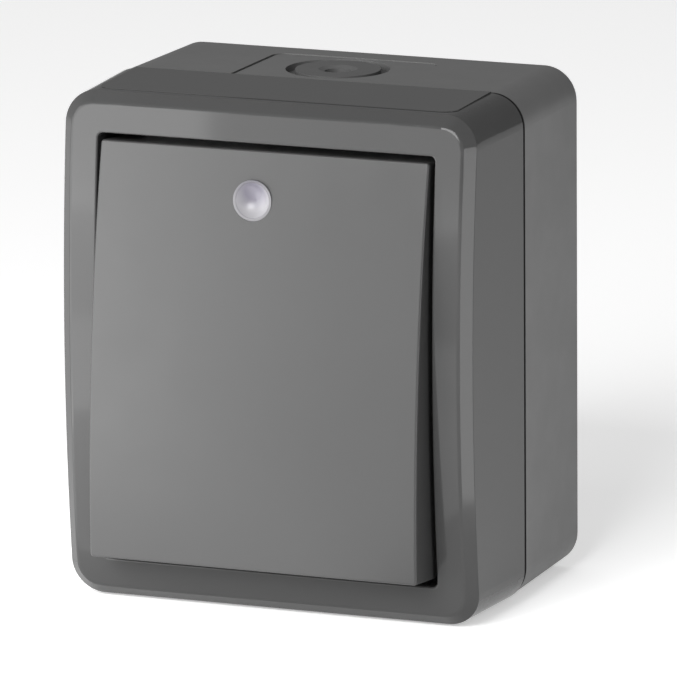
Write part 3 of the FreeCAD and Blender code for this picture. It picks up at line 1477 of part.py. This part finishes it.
def make_lamp_contacts():
    """Two bent strips from the top of the mechanism base to the back of the lamp holder."""
    body = new_body("lamp_contacts")
    strip = side_sketch(body, "strip", x="Size.lens_x - Size.lead_x - Size.lead_wide / 2")
    foot = "-Fit.lead_foot_deep"
    foot_front = "-(Fit.lead_foot_deep + Size.lead_thick)"
    points = [
        (foot, "Fit.base_top"),
        (foot, "Fit.lens_z + Size.lead_thick / 2"),
        ("-Fit.plate_front_deep", "Fit.lens_z + Size.lead_thick / 2"),
        ("-Fit.plate_front_deep", "Fit.lens_z - Size.lead_thick / 2"),
        (foot_front, "Fit.lens_z - Size.lead_thick / 2"),
        (foot_front, "Fit.base_top"),
    ]
    draw(strip, points)
    strip_pad = add(body, "strip", strip, "Size.lead_wide")
    row(body, "pair", [strip_pad], "2 * Size.lead_x", 2)
    return body


def make_parts():
    parts = [
        make_rear_box(),
        make_wall_caps(),
        make_box_seal(),
        make_front_cover(),
        make_cover_screws(),
        make_cover_screw_seals(),
        make_mounting_plate(),
        make_mounting_screws(),
        make_mechanism_seal(),
        make_mechanism_base(),
        make_bearing_frame(),
        make_bearing_screws(),
        make_common_contact(),
        make_upper_contact(),
        make_lower_contact(),
        make_fixed_tips(),
        make_terminal_clamps(),
        make_terminal_screws(),
        make_lamp_holder(),
        make_glow_lamp(),
        make_lamp_contacts(),
        make_rocker(),
        make_indicator_lens(),
        make_cradle(),
        make_plunger_spring(),
        make_plunger(),
        make_contact_arm(),
        make_moving_tips(),
    ]
    for side in ("top", "bottom"):
        inlet = [make_inlet_plate(f"inlet_plate_{side}"), make_inlet_grommet(f"inlet_grommet_{side}")]
        if side == "bottom":
            for body in inlet:
                upside_down(body)
        parts += inlet
    return parts


def write_parts(parts):
    """Checks every object and shape, then writes one file for each sub-part."""
    doc.recompute()
    failed = [item.Name for item in doc.Objects if {"Invalid", "Error"} & set(item.State)]
    if failed:
        raise RuntimeError(f"failed objects: {failed}")
    for part in parts:
        if part.Shape.isNull() or not part.Shape.isValid():
            raise RuntimeError(f"bad shape: {part.Label}")
    os.makedirs("parts", exist_ok=True)
    for part in parts:
        part.Shape.exportStep(f"parts/{part.Label}.step")


write_parts(make_parts())
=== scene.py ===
"""Looks of a weatherproof rocker switch: anthracite plastics, a milky lens and the works inside."""
import json
import math

import bmesh
import bpy
from mathutils import Matrix, Vector


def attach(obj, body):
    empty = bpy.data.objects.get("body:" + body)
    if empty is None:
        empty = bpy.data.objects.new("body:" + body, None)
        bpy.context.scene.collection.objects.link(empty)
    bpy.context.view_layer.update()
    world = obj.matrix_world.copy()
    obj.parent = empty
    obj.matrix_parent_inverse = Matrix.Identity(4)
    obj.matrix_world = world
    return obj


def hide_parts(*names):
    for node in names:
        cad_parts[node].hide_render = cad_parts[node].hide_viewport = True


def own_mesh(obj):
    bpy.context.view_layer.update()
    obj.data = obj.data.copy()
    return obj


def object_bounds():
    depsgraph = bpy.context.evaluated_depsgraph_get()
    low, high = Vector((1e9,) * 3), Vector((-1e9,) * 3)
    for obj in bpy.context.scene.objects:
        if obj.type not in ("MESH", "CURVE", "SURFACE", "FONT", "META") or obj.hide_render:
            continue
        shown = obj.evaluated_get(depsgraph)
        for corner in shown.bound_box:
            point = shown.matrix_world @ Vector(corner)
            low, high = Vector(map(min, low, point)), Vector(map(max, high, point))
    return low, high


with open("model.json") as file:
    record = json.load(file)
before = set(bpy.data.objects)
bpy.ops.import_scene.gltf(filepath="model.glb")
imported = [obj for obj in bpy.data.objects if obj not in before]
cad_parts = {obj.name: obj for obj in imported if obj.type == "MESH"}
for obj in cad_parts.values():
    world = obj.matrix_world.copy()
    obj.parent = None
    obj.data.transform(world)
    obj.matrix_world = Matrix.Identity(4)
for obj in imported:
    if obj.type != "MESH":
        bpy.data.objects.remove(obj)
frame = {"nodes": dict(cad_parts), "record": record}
CAD_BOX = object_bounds()
NODES = frame["nodes"]
MM = 0.001
MICRON = 0.000001

# The camera looks from the front, a little from the right and from above. Angles are in degrees.
# AIM shows at AIM_PIXEL of a picture of IMAGE_WIDE by IMAGE_HIGH pixels.
AIM = Vector((0, -19.52, 0)) * MM
AZIMUTH, ELEVATION, ROLL = 22.273, 12.5988, -0.47664
DISTANCE = 1358.09 * MM
FOCAL_PIXELS = 9198.8
IMAGE_WIDE, IMAGE_HIGH = 677, 676
AIM_PIXEL = (325.554, 328.019)
SENSOR = 36.0
CLIP_START, CLIP_END = 0.05, 20

# The studio: a white floor at the part's foot, and light from all around besides the softboxes.
WORLD_STRENGTH = 0.24
FLOOR_Z = CAD_BOX[0].z
FLOOR_RADIUS = 3
FLOOR_CORNERS = 96
FLOOR_COLOUR = (0.9, 0.9, 0.9, 1)
FLOOR_GLOW = 0.42
PANEL_RISE = 2 * MM

# What is the same in all materials: the span that most of a noise's values lie in, and the sizes of
# the clouds in colour and gloss.
NOISE_LOW, NOISE_HIGH = 0.3, 0.7
CLOUD_DETAIL = 3
COLOUR_CLOUDS = 20 * MM
GLOSS_CLOUDS = 6 * MM
METAL_CLOUDS = 3 * MM
METAL_STREAKS = 0.4 * MM

# The indicator lens turns with the rocker. At rest its axis leans back by the rocker's tilt. Its
# colour has painted shade: darkest on a line a little above the axis, lighter further out, and
# darker again at its rim, which lies between two radii.
LENS_PLACE = Vector((-1.25, -42.95, 23.81)) * MM
LENS_AXIS = (0, -0.995, 0.0998)
LENS_PAINTED_SHADE_CENTRE = LENS_PLACE + Vector((-0.2, 0, 1.2)) * MM
LENS_FADE = 4 * MM
LENS_RIM = (2.5 * MM, 2.7 * MM)
LENS_RIM_PAINTED_SHADE = 0.55

# The box's rim, where it meets the cover, is matt and darkened by a painted shadow of the joint.
# This fades out between two places along the axis that goes into the wall.
JOINT = (-22.85 * MM, -22.75 * MM)
JOINT_PAINTED_SHADOW = 0.02

# The plunger's spring goes from the plunger to the roof of its bore. Its wire lies within these ends.
COIL_FOOT = Vector((0, -25.975, -1.206)) * MM
COIL_ROOF = Vector((0, -35.015, -0.299)) * MM
COIL_R = 1.6 * MM
COIL_WIRE = 0.45 * MM
COIL_TURNS = 4
COIL_STEPS = 28
WIRE_CORNERS = 10


def make_camera():
    a, e, r = (math.radians(angle) for angle in (AZIMUTH, ELEVATION, ROLL))
    forward = Vector((-math.sin(a) * math.cos(e), math.cos(a) * math.cos(e), -math.sin(e)))
    level = Vector((math.cos(a), math.sin(a), 0))
    upright = level.cross(forward)
    right = math.cos(r) * level + math.sin(r) * upright
    up = math.cos(r) * upright - math.sin(r) * level
    to_right = (IMAGE_WIDE / 2 - AIM_PIXEL[0]) * DISTANCE / FOCAL_PIXELS
    to_up = (AIM_PIXEL[1] - IMAGE_HIGH / 2) * DISTANCE / FOCAL_PIXELS
    place = AIM - DISTANCE * forward
    back = (place - (AIM + to_right * right + to_up * up)).normalized()
    side = (right - right.dot(back) * back).normalized()
    rise = back.cross(side)
    data = bpy.data.cameras.new("camera")
    data.sensor_width = SENSOR
    data.lens = FOCAL_PIXELS * SENSOR / IMAGE_WIDE
    data.clip_start, data.clip_end = CLIP_START, CLIP_END
    camera = bpy.data.objects.new("camera", data)
    turn = Matrix((side, rise, back)).transposed().to_4x4()
    camera.matrix_world = Matrix.Translation(place) @ turn
    bpy.context.collection.objects.link(camera)
    bpy.context.scene.camera = camera


def area_light(name, place, target, size, power):
    """A softbox of the given width and height that faces a target. The camera doesn't see it."""
    data = bpy.data.lights.new(name, "AREA")
    data.shape = "RECTANGLE"
    data.size, data.size_y = size
    data.energy = power
    light = bpy.data.objects.new(name, data)
    place, target = Vector(place), Vector(target)
    light.location = place
    light.rotation_euler = (target - place).to_track_quat("-Z", "Y").to_euler()
    light.visible_camera = False
    bpy.context.collection.objects.link(light)


def face_power(radiance, wide, high):
    """The power of a softbox whose face has this radiance, with its sides in millimetres."""
    return radiance * math.pi * wide * high * MM * MM


def standing_light(name, foot, target, wide, high, radiance):
    """A softbox that stands on the floor and faces a target, in millimetres seen from above."""
    middle = FLOOR_Z + high / 2 * MM
    place = (foot[0] * MM, foot[1] * MM, middle)
    level_target = (target[0] * MM, target[1] * MM, middle)
    power = face_power(radiance, wide, high)
    area_light(name, place, level_target, (wide * MM, high * MM), power)


def lying_light(name, centre, wide, long, radiance):
    """A light panel that lies on the floor and faces up, in millimetres seen from above."""
    place = Vector((centre[0] * MM, centre[1] * MM, FLOOR_Z + PANEL_RISE))
    above = place + Vector((0, 0, 1))
    area_light(name, place, above, (wide * MM, long * MM), face_power(radiance, wide, long))


def make_studio():
    scene = bpy.context.scene
    scene.view_settings.view_transform = "Standard"
    world = bpy.data.worlds.new("world")
    world.use_nodes = True
    background = world.node_tree.nodes["Background"]
    background.inputs["Color"].default_value = (1, 1, 1, 1)
    background.inputs["Strength"].default_value = WORLD_STRENGTH
    scene.world = world
    bpy.ops.mesh.primitive_circle_add(
        vertices=FLOOR_CORNERS, radius=FLOOR_RADIUS, fill_type="NGON", location=(0, 0, FLOOR_Z))
    floor = bpy.context.object
    floor.name = "floor"
    floor.data.materials.append(white_floor())
    standing_light("key", foot=(-86, -112), target=(0, -40), wide=100, high=122, radiance=4.0)
    standing_light("edge", foot=(88, -64), target=(33, -42), wide=16, high=80, radiance=4.6)
    standing_light("low", foot=(-240, -790), target=(0, -40), wide=500, high=170, radiance=2.8)
    lying_light("panel", centre=(-58, -146), wide=144, long=188, radiance=1.2)
    area_light("front", place=(-0.05, -0.95, 0.55), target=(0, -0.03, 0), size=(0.6, 0.5), power=11)
    area_light("top", place=(-0.1, 0.15, 0.9), target=(0, 0, 0), size=(0.9, 0.9), power=0.8)


def white_floor():
    """A white floor that keeps a shadow. Seen, mirrored or through glass, it also glows a little."""
    material = bpy.data.materials.new("floor")
    material.use_nodes = True
    tree = material.node_tree
    tree.nodes.remove(tree.nodes["Principled BSDF"])
    diffuse = tree.nodes.new("ShaderNodeBsdfDiffuse")
    diffuse.inputs["Color"].default_value = FLOOR_COLOUR
    path = tree.nodes.new("ShaderNodeLightPath")
    seen = path.outputs["Is Camera Ray"]
    for ray in ("Is Glossy Ray", "Is Transmission Ray"):
        either = tree.nodes.new("ShaderNodeMath")
        either.operation = "MAXIMUM"
        tree.links.new(seen, either.inputs[0])
        tree.links.new(path.outputs[ray], either.inputs[1])
        seen = either.outputs[0]
    level = tree.nodes.new("ShaderNodeMath")
    level.operation = "MULTIPLY"
    level.inputs[1].default_value = FLOOR_GLOW
    tree.links.new(seen, level.inputs[0])
    glow = tree.nodes.new("ShaderNodeEmission")
    tree.links.new(level.outputs[0], glow.inputs["Strength"])
    both = tree.nodes.new("ShaderNodeAddShader")
    tree.links.new(diffuse.outputs[0], both.inputs[0])
    tree.links.new(glow.outputs[0], both.inputs[1])
    tree.links.new(both.outputs[0], tree.nodes["Material Output"].inputs["Surface"])
    return material


class Surface:
    """A procedural material on a Principled shader, with textures in the object's own metres."""

    def __init__(self, slot, **sockets):
        self.slot = slot
        self.material = bpy.data.materials.new(slot)
        self.material.use_nodes = True
        self.tree = self.material.node_tree
        self.shader = self.tree.nodes["Principled BSDF"]
        self.place = self.node("ShaderNodeTexCoord").outputs["Object"]
        for socket, setting in sockets.items():
            self.shader.inputs[socket.replace("_", " ")].default_value = setting

    def node(self, kind, **settings):
        node = self.tree.nodes.new(kind)
        for key, setting in settings.items():
            setattr(node, key, setting)
        return node

    def link(self, start, end):
        self.tree.links.new(start, end)

    def noise(self, grain, detail=2, stretch=(1, 1, 1)):
        """Noise whose grains are about as wide as grain, in metres."""
        mapping = self.node("ShaderNodeMapping")
        mapping.inputs["Scale"].default_value = stretch
        self.link(self.place, mapping.inputs["Vector"])
        noise = self.node("ShaderNodeTexNoise")
        noise.inputs["Scale"].default_value = 1 / grain
        noise.inputs["Detail"].default_value = detail
        self.link(mapping.outputs["Vector"], noise.inputs["Vector"])
        return noise.outputs["Fac"]

    def between(self, factor, low, high, start=NOISE_LOW, end=NOISE_HIGH):
        """A value that goes from low to high while a factor goes from start to end."""
        span = self.node("ShaderNodeMapRange")
        limits = {"From Min": start, "From Max": end, "To Min": low, "To Max": high}
        for socket, setting in limits.items():
            span.inputs[socket].default_value = setting
        self.link(factor, span.inputs["Value"])
        return span.outputs["Result"]

    def depth(self):
        """The place along the axis that goes into the wall."""
        split = self.node("ShaderNodeSeparateXYZ")
        self.link(self.place, split.inputs["Vector"])
        return split.outputs["Y"]

    def off_axis(self, centre, axis):
        """The distance from an axis through a centre."""
        arm = self.node("ShaderNodeVectorMath", operation="SUBTRACT")
        self.link(self.place, arm.inputs[0])
        arm.inputs[1].default_value = centre
        turned = self.node("ShaderNodeVectorMath", operation="CROSS_PRODUCT")
        self.link(arm.outputs["Vector"], turned.inputs[0])
        turned.inputs[1].default_value = axis
        length = self.node("ShaderNodeVectorMath", operation="LENGTH")
        self.link(turned.outputs["Vector"], length.inputs[0])
        return length.outputs["Value"]

    def colours(self, factor, low, high):
        ramp = self.node("ShaderNodeValToRGB")
        ends = ((NOISE_LOW, low), (NOISE_HIGH, high))
        for element, (position, colour) in zip(ramp.color_ramp.elements, ends):
            element.position = position
            element.color = (*colour, 1)
        self.link(factor, ramp.inputs["Fac"])
        self.link(ramp.outputs["Color"], self.shader.inputs["Base Color"])

    def darken(self, factor):
        """Multiplies the base colour by a factor."""
        socket = self.shader.inputs["Base Color"]
        product = self.node("ShaderNodeVectorMath", operation="MULTIPLY")
        self.link(socket.links[0].from_socket, product.inputs[0])
        self.link(factor, product.inputs[1])
        self.link(product.outputs["Vector"], socket)

    def rough(self, factor, low, high):
        self.link(self.between(factor, low, high), self.shader.inputs["Roughness"])

    def matt(self, least):
        """Keeps the roughness from going below a factor."""
        socket = self.shader.inputs["Roughness"]
        larger = self.node("ShaderNodeMath", operation="MAXIMUM")
        self.link(socket.links[0].from_socket, larger.inputs[0])
        self.link(least, larger.inputs[1])
        self.link(larger.outputs["Value"], socket)

    def bump(self, factor, height):
        """Raises the surface by about height, in metres, where the factor is high."""
        bump = self.node("ShaderNodeBump")
        bump.inputs["Strength"].default_value = 1
        bump.inputs["Distance"].default_value = height
        self.link(factor, bump.inputs["Height"])
        self.link(bump.outputs["Normal"], self.shader.inputs["Normal"])


def moulded(slot, dark, light, rough, grain, height, ior=1.45):
    """Moulded plastic: slight clouds in its colour and gloss, and a grain of some height."""
    surface = Surface(slot, IOR=ior)
    surface.colours(surface.noise(COLOUR_CLOUDS, CLOUD_DETAIL), dark, light)
    surface.rough(surface.noise(GLOSS_CLOUDS), *rough)
    surface.bump(surface.noise(grain), height)
    return surface


def housing(slot):
    """The box's matt plastic, with a painted shadow in the joint behind the cover."""
    surface = moulded(slot, grey(0.13), grey(0.134), (0.44, 0.49), 0.4 * MM, 4 * MICRON, ior=1.4)
    depth = surface.depth()
    # Painted shadow: the rim in the joint is darkened where the gap's shade falls.
    surface.darken(surface.between(depth, JOINT_PAINTED_SHADOW, 1, *JOINT))
    surface.matt(surface.between(depth, 1, 0, *JOINT))
    return surface


def milky_lens(slot):
    """A milky lens with painted shade, darkest a little above its middle and at its rim, and matt at
    its rim.
    """
    surface = Surface(slot, IOR=1.49)
    fade = surface.between(surface.off_axis(LENS_PAINTED_SHADE_CENTRE, LENS_AXIS), 0, 1, 0, LENS_FADE)
    rim = surface.between(surface.off_axis(LENS_PLACE, LENS_AXIS), 0, 1, *LENS_RIM)
    # Painted shade: darker a little above the lens's middle and lighter further out, then darker
    # again at the rim.
    surface.colours(fade, (0.13, 0.123, 0.152), (0.29, 0.285, 0.3))
    surface.darken(surface.between(rim, 1, LENS_RIM_PAINTED_SHADE, 0, 1))
    surface.rough(rim, 0.3, 0.65)
    surface.bump(surface.noise(1 * MM), 2 * MICRON)
    return surface


def clear_glass(slot):
    surface = Surface(slot, Transmission_Weight=1.0, IOR=1.5)
    surface.colours(surface.noise(2 * MM), (0.93, 0.9, 0.86), (0.97, 0.95, 0.93))
    surface.rough(surface.noise(1.5 * MM), 0.03, 0.08)
    surface.bump(surface.noise(1 * MM), 3 * MICRON)
    return surface


def metal(slot, dark, light, rough, stretch=(1, 1, 1)):
    """Metal with fine grain, drawn into streaks across the axis that the stretch names."""
    surface = Surface(slot, Metallic=1.0)
    surface.colours(surface.noise(METAL_CLOUDS, CLOUD_DETAIL), dark, light)
    streaks = surface.noise(METAL_STREAKS, stretch=stretch)
    surface.rough(streaks, *rough)
    surface.bump(streaks, 2 * MICRON)
    return surface


def grey(level, warm=0.0):
    return (level * (1 + warm), level, level * (1 - warm))


def make_materials():
    """Makes one material for each slot of the record and gives it to the slot's nodes.

    Plastics and metals have their darkest and lightest colour and their span of roughness, plastics
    also the width and height of their grain.
    """
    ivory, pale_ivory = (0.5, 0.48, 0.43), (0.58, 0.56, 0.5)
    cream, pale_cream = (0.66, 0.65, 0.6), (0.74, 0.73, 0.68)
    brass, pale_brass = (0.62, 0.42, 0.15), (0.76, 0.55, 0.24)
    surfaces = (
        moulded("cover_plastic", grey(0.05), grey(0.052), (0.07, 0.1), 9 * MM, 10 * MICRON, ior=1.31),
        housing("housing_plastic"),
        moulded("rocker_plastic", grey(0.039), grey(0.041), (0.33, 0.38), 0.5 * MM, 2 * MICRON),
        moulded("inlet_rubber", grey(0.09), grey(0.098), (0.5, 0.58), 0.6 * MM, 5 * MICRON),
        moulded("sealing_rubber", grey(0.015), grey(0.022), (0.6, 0.75), 0.8 * MM, 6 * MICRON),
        moulded("insulating_plastic", ivory, pale_ivory, (0.4, 0.5), 0.6 * MM, 4 * MICRON),
        moulded("moving_plastic", cream, pale_cream, (0.35, 0.45), 0.6 * MM, 4 * MICRON),
        metal("plate_steel", grey(0.46), grey(0.58), (0.28, 0.45), stretch=(1, 1, 12)),
        metal("screw_steel", grey(0.5, warm=0.03), grey(0.62, warm=0.03), (0.22, 0.36)),
        metal("spring_steel", grey(0.4), grey(0.5), (0.25, 0.35)),
        metal("contact_brass", brass, pale_brass, (0.2, 0.36), stretch=(1, 8, 1)),
        metal("tip_silver", grey(0.72), grey(0.82), (0.15, 0.3)),
        clear_glass("lamp_glass"),
        milky_lens("lens_plastic"),
    )
    slots = {surface.slot: surface.material for surface in surfaces}
    for part in frame["record"]["subparts"]:
        mesh = NODES[part["node"]].data
        mesh.materials.clear()
        mesh.materials.append(slots[part["material_slot"]])
    return slots


def coil_mesh(axis, length):
    """The coil's round wire, a ring of corners at each step, with closed ends."""
    across = Vector((1, 0, 0))
    upright = axis.cross(across)
    wire_r = COIL_WIRE / 2
    climb = length - COIL_WIRE
    steps = COIL_TURNS * COIL_STEPS
    corners = [2 * math.pi * corner / WIRE_CORNERS for corner in range(WIRE_CORNERS)]
    mesh = bmesh.new()
    rings = []
    for step in range(steps + 1):
        turn = 2 * math.pi * step / COIL_STEPS
        outward = math.cos(turn) * across + math.sin(turn) * upright
        round_axis = math.cos(turn) * upright - math.sin(turn) * across
        along = (2 * math.pi * COIL_TURNS * COIL_R * round_axis + climb * axis).normalized()
        middle = COIL_FOOT + (wire_r + climb * step / steps) * axis + COIL_R * outward
        sideways = along.cross(outward)
        arms = [math.cos(corner) * outward + math.sin(corner) * sideways for corner in corners]
        rings.append([mesh.verts.new(middle + wire_r * arm) for arm in arms])
    for ring, following in zip(rings, rings[1:]):
        for corner in range(WIRE_CORNERS):
            beside = (corner + 1) % WIRE_CORNERS
            quad = (ring[corner], ring[beside], following[beside], following[corner])
            mesh.faces.new(quad).smooth = True
    mesh.faces.new(rings[0])
    mesh.faces.new(rings[-1])
    bmesh.ops.recalc_face_normals(mesh, faces=mesh.faces)
    data = bpy.data.meshes.new("plunger_coil")
    mesh.to_mesh(data)
    mesh.free()
    return data


def make_spring(steel):
    """The plunger's coil spring. It rides with the rocker and keeps its length, though the real one
    shortens as the plunger slides in.
    """
    length = (COIL_ROOF - COIL_FOOT).length
    axis = (COIL_ROOF - COIL_FOOT) / length
    data = coil_mesh(axis, length)
    data.materials.append(steel)
    spring = bpy.data.objects.new("plunger_coil", data)
    bpy.context.collection.objects.link(spring)
    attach(spring, "rocker")
    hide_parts("plunger_spring")
    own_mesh(spring)


make_camera()
make_studio()
make_spring(make_materials()["spring_steel"])
